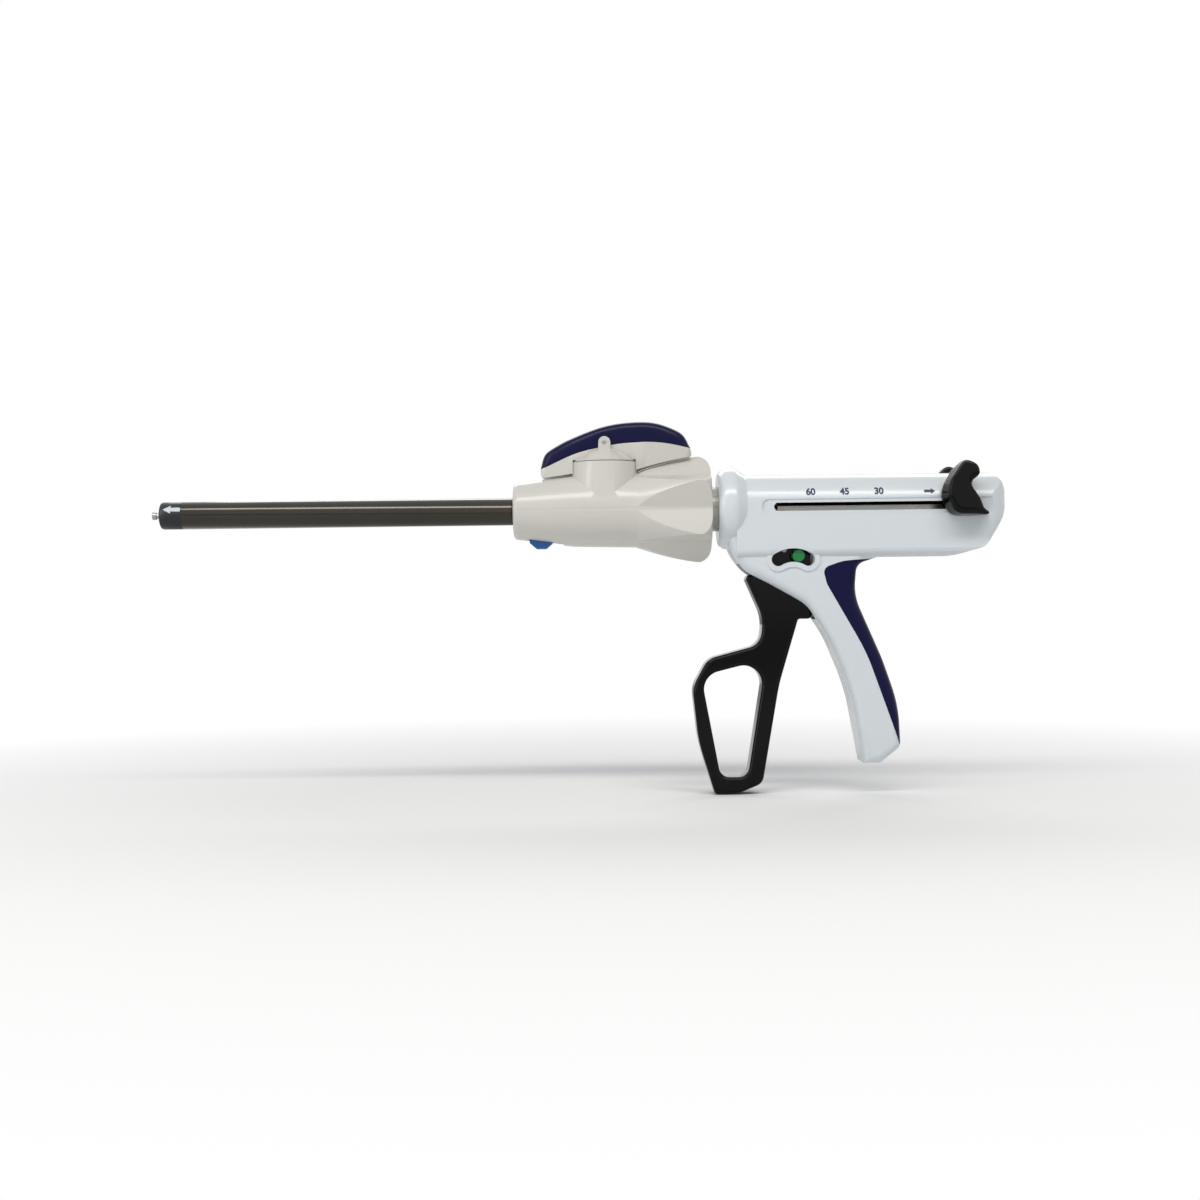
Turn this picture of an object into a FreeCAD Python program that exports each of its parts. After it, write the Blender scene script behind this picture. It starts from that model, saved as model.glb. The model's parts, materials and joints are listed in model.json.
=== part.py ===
import FreeCAD, Part
import Sketcher
import math
import os
from types import SimpleNamespace

# A powered-by-hand endoscopic linear stapler handle without its loading unit.
# Millimetres. +Z is up with the grip hanging down, X runs along the shaft with the
# tip towards -X and the handle towards +X, and the origin lies on the shaft's axis
# at the shoulder where the shaft enters the rotation collar.

Vector = FreeCAD.Vector
Rotation = FreeCAD.Rotation
Placement = FreeCAD.Placement

UPRIGHT = Rotation()
ALONG_X = Rotation(Vector(0, 1, 0), 90)
ALONG_Y = Rotation(Vector(1, 0, 0), -90)

SIZES = {
    # Clearances: a seat between pieces that stay together, a running fit, and free air
    "seat_gap": 0.05,
    "running_gap": 0.1,
    "free_gap": 0.3,
    # Shaft and load ring
    "shaft_radius": 6.0,
    "shaft_wall": 0.6,
    "shaft_reach": 145.1,
    "shaft_seat": 26.0,
    "shaft_root_radius": 5.7,
    "ring_length": 9.7,
    "ring_bore": 4.4,
    "ring_nose": 1.3,
    "ring_spigot": 6.0,
    "rod_radius": 1.25,
    "rod_stand": 3.7,
    "rod_head_radius": 1.7,
    "rod_head_length": 1.8,
    "seal_radius": 2.6,
    "seal_length": 2.0,
    "link_offset": 3.4,
    "link_thickness": 1.0,
    "link_height": 1.8,
    # Rotation collar
    "collar_front_radius": 12.5,
    "collar_base_radius": 16.4,
    "collar_length": 87.2,
    "front_block_length": 27.1,
    "collar_bore": 10.0,
    "flare_start": 54.0,
    "flare_crown": 81.5,
    "flare_radius": 23.3,
    "flute_count": 6,
    "flute_floor": 16.4,
    "ridge_radius": 23.2,
    "spigot_radius": 9.7,
    "spigot_bore": 6.9,
    "spigot_flange_radius": 12.0,
    "turret_place": 40.5,
    "turret_radius": 15.0,
    "turret_top": 20.9,
    "turret_wall": 1.6,
    # Unload button in the collar's underside
    "button_start": 7.3,
    "button_length": 10.2,
    "button_width": 8.0,
    "button_drop": 16.6,
    "button_travel": 4.0,
    "button_flat": 4.2,
    "button_slope": 2.6,
    # Articulation lever, hub and cam
    "hub_shaft_radius": 5.0,
    "hub_disc_thickness": 0.7,
    "lever_width": 14.0,
    "lever_pin_height": 29.3,
    "lever_pin_radius": 0.9,
    "ear_radius": 2.65,
    "ear_thickness": 1.4,
    "dome_shoulder": 3.6,
    "dome_height": 5.2,
    "cam_radius": 12.9,
    "cam_thickness": 2.0,
    "cam_height": 9.0,
    "cam_neutral": 8.0,
    "cam_stroke": 3.0,
    "cam_pin_radius": 1.0,
    "lever_swing": 45.0,
    # Housing
    "housing_stand": 5.5,
    "nose_reach": 2.9,
    "rear_room": 19.2,
    "rear_pin_room": 4.2,
    "rear_wall": 7.2,
    "rear_foot": 13.0,
    "barrel_radius": 14.6,
    "barrel_drop": 21.6,
    "housing_wall": 2.2,
    "grip_width": 25.6,
    "grip_rounding": 4.0,
    "grip_shoulder": 13.5,
    # Trigger and what it carries
    "pivot_stand": 28.9,
    "pivot_drop": 33.3,
    "pivot_radius": 2.5,
    "trigger_width": 14.4,
    "trigger_slot": 15.6,
    "arm_width": 10.0,
    "window_radius": 12.4,
    "window_half_height": 2.9,
    "window_half_angle": 31.6,
    "safety_radius": 2.6,
    "safety_length": 25.6,
    "safety_angle": 11.5,
    "pawl_width": 3.4,
    "pawl_lead": 3.0,
    "pawl_rise": 15.0,
    # Rack, release plate and return knobs
    "stroke": 80.0,
    "slot_stand": 20.8,
    "slot_half_height": 1.8,
    "recess_half_height": 3.35,
    "recess_depth": 0.8,
    "pin_radius": 1.6,
    "rack_stand": 23.3,
    "rack_tail": 6.4,
    "rack_width": 7.0,
    "rack_top": 4.0,
    "rack_drop": 5.5,
    "tooth_pitch": 5.0,
    "tooth_depth": 2.0,
    "plate_thickness": 1.2,
    "rack_groove_depth": 1.8,
    "knob_thickness": 9.8,
}
# The rod's head stands out of the ring, the housing's nose stands behind the collar, the
# trigger, slot and rack stand behind the nose, and the barrel ends behind the slot
SIZES["rod_reach"] = round(SIZES["shaft_reach"] + SIZES["ring_length"] + SIZES["rod_stand"], 6)
SIZES["housing_front"] = round(SIZES["collar_length"] + SIZES["housing_stand"], 6)
for place, stand in (("pivot_back", "pivot_stand"), ("slot_front", "slot_stand"),
                     ("rack_front", "rack_stand")):
    SIZES[place] = round(SIZES["housing_front"] + SIZES[stand], 6)
SIZES["housing_rear"] = round(SIZES["slot_front"] + SIZES["slot_half_height"]
                              + SIZES["free_gap"] + SIZES["stroke"] + SIZES["rear_room"], 6)

document = FreeCAD.newDocument("linear_stapler_handle")
sheet = document.addObject("Spreadsheet::Sheet", "size")
for row, (name, amount) in enumerate(SIZES.items(), 1):
    sheet.set("A%d" % row, name)
    sheet.set("B%d" % row, str(amount))
    sheet.setAlias("B%d" % row, name)
document.recompute()
size = SimpleNamespace(**SIZES)
nodes = {}


def bind(item, **rules):
    """Tie properties to expressions of the sheet; x, y and z are the item's place."""
    for name, rule in rules.items():
        path = "Placement.Base." + name if name in ("x", "y", "z") else name
        item.setExpression(path, str(rule))
    return item


def cylinder(name, turn, Radius, Height, x="0", y="0", z="0"):
    item = document.addObject("Part::Cylinder", name)
    item.Placement = Placement(Vector(), turn)
    return bind(item, Radius=Radius, Height=Height, x=x, y=y, z=z)


def box(name, Length, Width, Height, x="0", y="0", z="0"):
    item = document.addObject("Part::Box", name)
    return bind(item, Length=Length, Width=Width, Height=Height, x=x, y=y, z=z)


def fuse(name, *pieces):
    item = document.addObject("Part::MultiFuse", name)
    item.Shapes = list(pieces)
    return item


def common(name, *pieces):
    item = document.addObject("Part::MultiCommon", name)
    item.Shapes = list(pieces)
    return item


def cut(name, base, *tools):
    item = document.addObject("Part::Cut", name)
    item.Base = base
    item.Tool = tools[0] if len(tools) == 1 else fuse(name + "_tools", *tools)
    return item


def node(name, item):
    """Name a finished piece; its label names its file."""
    item.Label = name
    nodes[name] = item
    return item


def body(name):
    return document.addObject("PartDesign::Body", name)


def origin_of(owner, role):
    return next(f for f in owner.Origin.OriginFeatures if f.Role == role)


def sketch(owner, role, name, curves=()):
    drawing = owner.newObject("Sketcher::SketchObject", name)
    drawing.AttachmentSupport = [(origin_of(owner, role), "")]
    drawing.MapMode = "FlatFace"
    for curve in curves:
        drawing.addGeometry(curve, False)
    return drawing


def profile(owner, role, name, corners):
    """A closed outline of straight sides whose corners follow the sheet."""
    drawing = sketch(owner, role, name)
    count = len(corners)
    turns = [2 * math.pi * i / count for i in range(count)]
    start = [Vector(math.cos(turn), math.sin(turn), 0) for turn in turns]
    for i in range(count):
        side = Part.LineSegment(start[i], start[(i + 1) % count])
        drawing.addGeometry(side, False)
    for i in range(count):
        drawing.addConstraint(Sketcher.Constraint("Coincident", i, 2, (i + 1) % count, 1))
    for i, (across, up) in enumerate(corners):
        pairs = (("DistanceX", across, start[i].x), ("DistanceY", up, start[i].y))
        for kind, rule, guess in pairs:
            rule_number = drawing.addConstraint(Sketcher.Constraint(kind, -1, 1, i, 1, guess))
            drawing.setExpression("Constraints[%d]" % rule_number, rule)
    return drawing


def pad(owner, drawing, length, centred=True, backwards=False):
    feature = owner.newObject("PartDesign::Pad", drawing.Name + "_pad")
    feature.Profile = drawing
    feature.setExpression("Length", length)
    feature.Midplane = centred
    feature.Reversed = backwards
    return feature


def pocket(owner, drawing):
    """A cut right through, both ways from its sketch."""
    feature = owner.newObject("PartDesign::Pocket", drawing.Name + "_pocket")
    feature.Profile = drawing
    feature.Type = 1
    feature.Midplane = True
    return feature


def revolve(owner, drawing, axis="H_Axis"):
    feature = owner.newObject("PartDesign::Revolution", drawing.Name + "_turn")
    feature.Profile = drawing
    feature.ReferenceAxis = (drawing, [axis])
    feature.Angle = 360
    return feature


def rounded(corners, centre=(0, 0)):
    """Lines and tangent arcs of an outline given as (across, up, corner radius)."""
    places = [Vector(centre[0] + x, centre[1] + y, 0) for x, y, radius in corners]
    turns = []
    for i, (x, y, radius) in enumerate(corners):
        before = (places[i - 1] - places[i]).normalize()
        after = (places[(i + 1) % len(places)] - places[i]).normalize()
        if radius == 0:
            turns.append((places[i], None, places[i]))
            continue
        half = before.getAngle(after) / 2
        middle = (before + after).normalize()
        reach = radius / math.tan(half)
        nearest = places[i] + middle * (radius / math.sin(half) - radius)
        turns.append((places[i] + before * reach, nearest, places[i] + after * reach))
    curves = []
    for i, (first, nearest, last) in enumerate(turns):
        if nearest is not None:
            curves.append(Part.Arc(first, nearest, last))
        following = turns[(i + 1) % len(turns)][0]
        if (following - last).Length > 1e-6:
            curves.append(Part.LineSegment(last, following))
    return curves


def arc_slot(centre, radius, half_height, half_angle):
    """A curved slot above a centre, round at both ends."""
    def at(reach, degrees):
        turn = math.radians(degrees)
        return Vector(centre[0] + reach * math.sin(turn), centre[1] + reach * math.cos(turn), 0)

    inner = radius - half_height
    outer = radius + half_height
    bulge = math.degrees(half_height / radius)
    return [
        Part.Arc(at(inner, -half_angle), at(inner, 0), at(inner, half_angle)),
        Part.Arc(at(inner, half_angle), at(radius, half_angle + bulge), at(outer, half_angle)),
        Part.Arc(at(outer, half_angle), at(outer, 0), at(outer, -half_angle)),
        Part.Arc(at(outer, -half_angle), at(radius, -half_angle - bulge), at(inner, -half_angle)),
    ]


def slab(name, curves, width):
    """A flat piece upright in the plane of the shaft, as thick as width both ways."""
    owner = body(name)
    drawing = sketch(owner, "XZ_Plane", name + "_outline", curves)
    pad(owner, drawing, width)
    return owner


def soften(owner, name, radius, lowest=-400, highest=400):
    """Round the edges in a slab's two side planes that lie between two heights."""
    document.recompute()
    base = owner.Tip
    edges = []
    for number, edge in enumerate(base.Shape.Edges, 1):
        span = edge.BoundBox
        if span.YLength < 1e-4 and span.ZMin > lowest and span.ZMax < highest:
            edges.append("Edge%d" % number)
    feature = owner.newObject("PartDesign::Fillet", name)
    feature.Base = (base, edges)
    return bind(feature, Radius=radius)


def coil(name, radius, wire, length, turns, place):
    """A spring of six-sided wire wound as a many-sided helix about its own Z."""
    steps = 10
    points = []
    for i in range(turns * steps + 1):
        turn = 2 * math.pi * i / steps
        height = wire + (length - 2 * wire) * i / (turns * steps)
        points.append(Vector(radius * math.cos(turn), radius * math.sin(turn), height))
    path = Part.makePolygon(points)
    start = points[0]
    direction = points[1] - start
    spoke = direction.cross(Vector(0, 0, 1)).normalize() * wire
    section = Part.makePolygon(
        [start + Rotation(direction, 60 * i).multVec(spoke) for i in range(7)]
    )
    item = document.addObject("Part::Feature", name)
    item.Shape = path.makePipeShell([section], True, False, 1)
    item.Placement = place
    return item


def halves(item, plane, first, second):
    """Part a piece in two at the plane Y = 0 or Z = 0; first is the negative side."""
    reach = 400
    corner = {"y": (-reach, 0, -reach), "z": (-reach, -reach, 0)}[plane]
    far_side = box(first + "_far", "800", "800", "800", *[str(c) for c in corner])
    near_side = box(
        second + "_far", "800", "800", "800",
        *[str(c - 800 if c == 0 else c) for c in corner]
    )
    node(first, cut(first, item, far_side))
    node(second, cut(second, item, near_side))


# Shaft tube, from the load ring to a shoulder, and a turned-down root in the collar
tube_bore = "size.shaft_radius - size.shaft_wall"
tube_form = body("tube_form")
revolve(tube_form, profile(tube_form, "XZ_Plane", "tube_section", [
    ("-size.shaft_reach", tube_bore), ("-size.shaft_reach", "size.shaft_radius"),
    ("0", "size.shaft_radius"), ("0", "size.shaft_root_radius"),
    ("size.shaft_seat", "size.shaft_root_radius"), ("size.shaft_seat", tube_bore),
]))
node("shaft_tube", tube_form)

# Load ring: a turned collar with a spigot in the tube and two bayonet grooves
ring_front = "-size.shaft_reach - size.ring_length"
spigot_radius = "size.shaft_radius - size.shaft_wall - size.seat_gap"
ring_spigot_end = "-size.shaft_reach + size.ring_spigot"
ring_form = body("ring_form")
revolve(ring_form, profile(ring_form, "XZ_Plane", "ring_section", [
    (ring_front, "size.ring_bore"),
    (ring_front, "size.shaft_radius - size.ring_nose"),
    (ring_front + " + size.ring_nose * 0.3", "size.shaft_radius - size.ring_nose * 0.3"),
    (ring_front + " + size.ring_nose", "size.shaft_radius"),
    ("-size.shaft_reach", "size.shaft_radius"),
    ("-size.shaft_reach", spigot_radius),
    (ring_spigot_end, spigot_radius),
    (ring_spigot_end, "size.ring_bore"),
]))
groove_reach = "size.ring_bore + 0.8"
entry_groove = box("entry_groove", "6", "2.4", "2 * (%s)" % groove_reach,
                   x=ring_front, y="-1.2", z="-(%s)" % groove_reach)
lock_groove = common(
    "lock_groove",
    cylinder("lock_round", ALONG_X, groove_reach, "2", x=ring_front + " + 4"),
    box("lock_sector", "2", "5", "12", x=ring_front + " + 4", y="-1.2", z="-6"),
)
node("load_ring", cut("load_ring", ring_form, entry_groove, lock_groove))

# Control rod, with a turned head that takes the loading unit's drive beam
rod_back = "size.rack_front + 8"
rod_head = cylinder("rod_head", ALONG_X, "size.rod_head_radius", "size.rod_head_length",
                    x="-size.rod_reach")
rod_shank = cylinder("rod_shank", ALONG_X, "size.rod_radius",
                     "size.rod_reach + %s" % rod_back, x="-size.rod_reach")
node("control_rod", fuse("control_rod", rod_head, rod_shank))

# Inner shaft in two half-rounds, with channels for the rod, the link and the seals
core_front = ring_spigot_end + " + size.free_gap"
core_back = "size.shaft_seat + 1"
core_radius = "size.shaft_radius - size.shaft_wall - size.seat_gap"
core_round = cylinder("core_round", ALONG_X, core_radius, "%s - (%s)" % (core_back, core_front),
                      x=core_front)
rod_channel = cylinder("rod_channel", ALONG_X, "size.rod_radius + size.running_gap", "200",
                       x="-size.shaft_reach")
link_channel = box(
    "link_channel", "200", "size.link_thickness + 2 * size.running_gap",
    "size.link_height + 2 * size.running_gap", x="-size.shaft_reach",
    y="size.link_offset - size.link_thickness / 2 - size.running_gap",
    z="-size.link_height / 2 - size.running_gap",
)
seal_places = {"distal_seal": core_front + " + 3", "proximal_seal": core_back + " - 5"}
seal_pockets = []
for name, place in seal_places.items():
    outer = cylinder(name + "_outer", ALONG_X, "size.seal_radius", "size.seal_length", x=place)
    inner = cylinder(name + "_bore", ALONG_X, "size.rod_radius + size.seat_gap",
                     "size.seal_length", x=place)
    node(name, cut(name, outer, inner))
    seal_pockets.append(cylinder(
        name + "_pocket", ALONG_X, "size.seal_radius + size.seat_gap",
        "size.seal_length + 2 * size.seat_gap", x=place + " - size.seat_gap"
    ))
core = cut("core", core_round, rod_channel, link_channel, *seal_pockets)
halves(core, "z", "inner_shaft_lower", "inner_shaft_upper")

# Articulation link: a flat bar along the shaft with a riser and a pin in the cam's slot
link_front = "-size.shaft_reach - 5"
link_riser = "size.turret_place - size.cam_neutral - 1.5"
bridge_height = "size.cam_height - 2.5"
link_bar = box("link_bar", "%s + 3 - (%s)" % (link_riser, link_front), "size.link_thickness",
               "size.link_height", x=link_front,
               y="size.link_offset - size.link_thickness / 2", z="-size.link_height / 2")
link_post = box("link_post", "3", "size.link_thickness",
                "%s + 1.5 + size.link_height / 2" % bridge_height,
                x=link_riser, y="size.link_offset - size.link_thickness / 2",
                z="-size.link_height / 2")
link_bridge = box("link_bridge", "3", "size.link_offset + size.link_thickness / 2 + 1.4", "1.5",
                  x=link_riser, y="-1.4", z=bridge_height)
link_pin = cylinder("link_pin", UPRIGHT, "size.cam_pin_radius",
                    "size.cam_thickness + 1.5", x="size.turret_place - size.cam_neutral",
                    z=bridge_height + " + 1")
node("articulation_link", fuse("articulation_link", link_bar, link_post, link_bridge, link_pin))

# Collar: a tapered barrel that flares into a bell with V-shaped flutes, a round turret
# on top and a rear spigot with a flange
groove_front = "size.housing_front + 3"
flange_length = 3.0
collar_form = body("collar_form")
bell_rise = size.flare_radius - size.collar_base_radius
collar_curve = [
    Vector(size.flare_start, size.collar_base_radius, 0),
    Vector((size.flare_start + size.flare_crown) / 2,
           size.collar_base_radius + 0.61 * bell_rise, 0),
    Vector(size.flare_crown, size.flare_radius, 0),
    Vector(size.flare_crown + 3.4, size.flare_radius - 1.7, 0),
    Vector(size.collar_length - 0.4, size.flare_radius - 6.2, 0),
]
collar_face = size.free_gap
collar_corners = [
    (collar_face, 0, 0), (collar_face, size.collar_front_radius - 0.2, 2.4),
    (collar_face + 2.6, size.collar_front_radius, 8),
    (size.front_block_length, size.collar_base_radius - 0.6, 0),
    (size.flare_start, size.collar_base_radius, 0),
]
nose_curves = rounded(collar_corners)
revolve(collar_form, sketch(collar_form, "XZ_Plane", "collar_section", [
    *nose_curves[:-1],
    Part.Arc(*collar_curve[0:3]),
    Part.Arc(*collar_curve[2:5]),
    Part.LineSegment(collar_curve[4], Vector(size.collar_length, size.spigot_radius, 0)),
    Part.LineSegment(Vector(size.collar_length, size.spigot_radius, 0),
                     Vector(size.collar_length, 0, 0)),
    Part.LineSegment(Vector(size.collar_length, 0, 0), Vector(collar_face, 0, 0)),
]))
ridge_turn = math.pi / size.flute_count
wall_slope = (
    math.cos(ridge_turn) - size.flute_floor / size.ridge_radius
) / math.sin(ridge_turn)
flute_depth = 14
flute_corners = [
    (-size.flute_floor, 0, 3.0),
    (-size.flute_floor - flute_depth, -flute_depth / wall_slope, 0),
    (-size.flute_floor - flute_depth, flute_depth / wall_slope, 0),
]
flute = pocket(collar_form, sketch(collar_form, "YZ_Plane", "flute_section",
                                   rounded(flute_corners)))
document.recompute()
flutes = collar_form.newObject("PartDesign::PolarPattern", "flutes")
flutes.Originals = [flute]
flutes.Axis = (origin_of(collar_form, "X_Axis"), [""])
flutes.Angle = 360
bind(flutes, Occurrences="size.flute_count")
collar_form.Tip = flutes
spigot_end = groove_front + " + %s" % flange_length
spigot_neck = cylinder("spigot_neck", ALONG_X, "size.spigot_radius",
                       "%s - size.collar_length + 2" % spigot_end, x="size.collar_length - 2")
spigot_flange = cylinder("spigot_flange", ALONG_X, "size.spigot_flange_radius",
                         "%s - size.free_gap" % flange_length,
                         x=groove_front + " + size.free_gap")
turret = cylinder("turret", UPRIGHT, "size.turret_radius", "size.turret_top",
                  x="size.turret_place")
turret_cavity = cylinder(
    "turret_cavity", UPRIGHT, "size.turret_radius - size.turret_wall",
    "size.turret_top - size.turret_wall - 5.5", x="size.turret_place", z="5.5"
)
hub_bore = cylinder("hub_bore", UPRIGHT, "size.hub_shaft_radius + size.running_gap",
                    "size.turret_top", x="size.turret_place", z="5.5")
tube_seat = cylinder("tube_seat", ALONG_X, "size.shaft_root_radius + size.seat_gap",
                     "size.front_block_length")
collar_room = cylinder("collar_room", ALONG_X, "size.collar_bore",
                       "size.collar_length - 3 - size.front_block_length",
                       x="size.front_block_length")
spigot_hole = cylinder("spigot_hole", ALONG_X, "size.spigot_bore", "40",
                       x="size.collar_length - 10")

# Unload button: a cap that slides in a slot under the collar, held by a wider base
button_end = "size.button_start + size.button_length"
lip_height = "size.button_drop - 4.8"
button_base = "size.button_drop - 5.1"
button_room = "size.button_drop - 7.7"
button_form = body("button_form")
pad(button_form, profile(button_form, "XZ_Plane", "button_cap", [
    ("size.button_start", "-(%s)" % button_base),
    ("size.button_start", "-size.button_drop + size.button_slope"),
    ("size.button_start + (size.button_length - size.button_flat) / 2", "-size.button_drop"),
    ("size.button_start + (size.button_length + size.button_flat) / 2", "-size.button_drop"),
    (button_end, "-size.button_drop + size.button_slope"),
    (button_end, "-(%s)" % button_base),
]), "size.button_width")
pad(button_form, profile(button_form, "XZ_Plane", "button_flange", [
    ("size.button_start - 1.6", "-(%s)" % button_base),
    ("size.button_start - 1.6", "-(%s) - size.free_gap" % button_room),
    (button_end + " + 1.6", "-(%s) - size.free_gap" % button_room),
    (button_end + " + 1.6", "-(%s)" % button_base),
]), "size.button_width + 2")
node("unload_button", button_form)
button_slot = box(
    "button_slot", "size.button_length + size.button_travel + 3 * size.free_gap",
    "size.button_width + 2 * size.free_gap", "10",
    x="size.button_start - size.free_gap", y="-size.button_width / 2 - size.free_gap",
    z="-(%s) - 9.9" % lip_height
)
button_cavity = box(
    "button_cavity", "size.front_block_length - 1.5 - size.button_start + 1.6 + size.free_gap",
    "size.button_width + 2 + 2 * size.free_gap", "%s - (%s)" % (lip_height, button_room),
    x="size.button_start - 1.6 - size.free_gap",
    y="-size.button_width / 2 - 1 - size.free_gap", z="-(%s)" % lip_height
)
collar_outside = fuse("collar_outside", collar_form, spigot_neck, spigot_flange, turret)
collar_shape = cut(
    "collar_shape", collar_outside, turret_cavity, hub_bore, tube_seat, collar_room,
    spigot_hole, button_slot, button_cavity
)
halves(collar_shape, "z", "collar_lower_half", "collar_upper_half")
spring_start = size.button_start + size.button_length + 1.6 + size.seat_gap
spring_length = size.front_block_length - 1.5 - size.seat_gap - spring_start
flange_middle = 6.4
spring_height = flange_middle - size.button_drop
node("unload_spring", coil("unload_spring", 0.85, 0.22, spring_length, 6, Placement(
    Vector(spring_start, 0, spring_height), ALONG_X)))

# Articulation lever: a tall leaf-shaped fin in two colours on a domed hub
side_corners = [
    (-28.0, 18.9, 3), (-27.3, 25.2, 5), (-17.5, 30.6, 20), (2.0, 38.2, 60), (22.0, 39.0, 25),
    (36.0, 33.5, 8), (38.4, 23.9, 1.5), (37.0, 22.4, 1), (29.0, 20.9, 20), (20.0, 18.4, 10),
    (13.0, 16.9, 0), (-13.0, 16.1, 0), (-27.8, 14.25, 1.5),
]
fin_half = size.lever_width / 2 + 0.2
plan_corners = [
    (-28.6, -3.4, 3.3), (-11.0, -fin_half, 50), (14.0, -fin_half, 50), (38.4, -3.2, 3.1),
    (38.4, 3.2, 3.1), (14.0, fin_half, 50), (-11.0, fin_half, 50), (-28.6, 3.4, 3.3),
]
fin_side = slab("fin_side", rounded(side_corners, (size.turret_place, 0)), "2 * size.lever_width")
fin_plan = body("fin_plan")
pad(fin_plan, sketch(fin_plan, "XY_Plane", "fin_plan_outline",
                     rounded(plan_corners, (size.turret_place, 0))), "60", centred=False)
fin_blank = common("fin_blank", fin_side, fin_plan)
swing_room = body("swing_room")
swing_lift = Vector(-size.turret_place, size.free_gap, 0)
swing_arc = [point + swing_lift for point in collar_curve[0:3]]
swing_foot = Vector(0, swing_arc[0].y, 0)
swing_far = Vector(swing_arc[2].x, 0, 0)
revolve(swing_room, sketch(swing_room, "XZ_Plane", "swing_section", [
    Part.LineSegment(Vector(), swing_foot), Part.LineSegment(swing_foot, swing_arc[0]),
    Part.Arc(*swing_arc), Part.LineSegment(swing_arc[2], swing_far),
    Part.LineSegment(swing_far, Vector()),
]), "V_Axis")
bind(swing_room, x="size.turret_place")
rear_side = box("rear_side", "60", "120", "60", x="size.turret_place", y="-60")
fin = cut("fin", fin_blank, common("rear_swing_room", swing_room, rear_side))
turret_clearance = cylinder(
    "turret_clearance", UPRIGHT, "size.turret_radius + size.free_gap",
    "size.turret_top + size.free_gap + size.hub_disc_thickness", x="size.turret_place"
)
colour_corners = [
    (-40, 17.0, 0), (-27.6, 18.2, 20), (-12.0, 25.2, 60), (6.0, 28.8, 60), (24.0, 29.8, 60),
    (37.5, 26.8, 20), (48, 24.0, 0), (48, 60, 0), (-40, 60, 0),
]
cap_region = slab("cap_region", rounded(colour_corners, (size.turret_place, 0)),
                  "4 * size.lever_width")
lever_pin_hole = cylinder("lever_pin_hole", ALONG_Y, "size.lever_pin_radius + size.seat_gap",
                          "40", x="size.turret_place", y="-20", z="size.lever_pin_height")
cap_form = common("cap_form", fin, cap_region)
node("lever_cap", cut("lever_cap", cap_form, lever_pin_hole))
node("lever_body", cut("lever_body", fin, cap_region, turret_clearance, lever_pin_hole))
disc_bottom = "size.turret_top + size.free_gap"
hub_form = body("hub_form")
dome_base = disc_bottom + " + size.hub_disc_thickness"
revolve(hub_form, profile(hub_form, "XZ_Plane", "dome_section", [
    ("0", dome_base), ("size.turret_radius - 0.9", dome_base),
    ("size.turret_radius - 4.7", dome_base + " + size.dome_shoulder"),
    ("size.lever_width / 2 + 0.3", dome_base + " + size.dome_height"),
    ("0", dome_base + " + size.dome_height"),
]), "V_Axis")
bind(hub_form, x="size.turret_place")
hub_disc = cylinder("hub_disc", UPRIGHT, "size.turret_radius - 0.7",
                    "size.hub_disc_thickness", x="size.turret_place", z=disc_bottom)
hub_drive = cylinder("hub_drive", UPRIGHT, "size.hub_shaft_radius",
                     "%s - size.cam_height - size.cam_thickness" % disc_bottom,
                     x="size.turret_place", z="size.cam_height + size.cam_thickness")
hub_key = box("hub_key", "5", "5", "size.cam_thickness", x="size.turret_place - 2.5", y="-2.5",
              z="size.cam_height")
fin_seat = box("fin_seat", "60", "size.lever_width + 0.6", "20",
               x="size.turret_place - 30", y="-size.lever_width / 2 - 0.3", z=dome_base)
ear_height = "size.lever_pin_height - (%s)" % dome_base
ears = []
for side, place in (("left", "-size.lever_width / 2 - 0.3 - size.ear_thickness"),
                    ("right", "size.lever_width / 2 + 0.3")):
    ears.append(box(side + "_ear", "2 * size.ear_radius", "size.ear_thickness", ear_height,
                    x="size.turret_place - size.ear_radius", y=place, z=dome_base))
    ears.append(cylinder(side + "_ear_top", ALONG_Y, "size.ear_radius", "size.ear_thickness",
                         x="size.turret_place", y=place, z="size.lever_pin_height"))
hub_base = fuse("hub_base", hub_form, hub_disc, hub_drive, hub_key)
hub_solid = fuse("hub_solid", cut("hub_cradle", hub_base, fin_seat), *ears)
node("lever_hub", cut("lever_hub", hub_solid, lever_pin_hole))
node("lever_cross_pin", cylinder(
    "lever_cross_pin", ALONG_Y, "size.lever_pin_radius",
    "size.lever_width + 0.6 + 2 * size.ear_thickness", x="size.turret_place",
    y="-size.lever_width / 2 - 0.3 - size.ear_thickness", z="size.lever_pin_height"
))

# Cam disc: its spiral slot moves the link in step with the lever
cam_disc = cylinder("cam_disc", UPRIGHT, "size.cam_radius", "size.cam_thickness",
                    x="size.turret_place", z="size.cam_height")
cam_square = box("cam_square", "5 + 2 * size.seat_gap", "5 + 2 * size.seat_gap", "10",
                 x="size.turret_place - 2.5 - size.seat_gap", y="-2.5 - size.seat_gap",
                 z="size.cam_height - 1")
slot_side = size.cam_pin_radius + size.running_gap
spiral_steps = 8
spiral_slope = size.cam_stroke / math.radians(size.lever_swing)
spiral_edges = {1: [], -1: []}
spiral_ends = []
for i in range(spiral_steps + 1):
    swing = math.radians(size.lever_swing) * (2 * i / spiral_steps - 1)
    reach = size.cam_neutral + spiral_slope * swing
    spoke = Vector(-math.cos(swing), math.sin(swing), 0)
    tangent = (spoke * spiral_slope + Vector(math.sin(swing), math.cos(swing), 0) * reach)
    tangent.normalize()
    across = Vector(tangent.y, -tangent.x, 0)
    for side, edge in spiral_edges.items():
        edge.append(spoke * reach + across * side * slot_side)
    spiral_ends.append((spoke * reach, tangent))
cam_slot_curves = []
for edge in spiral_edges.values():
    curve = Part.BSplineCurve()
    curve.interpolate(edge)
    cam_slot_curves.append(curve)
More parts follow.
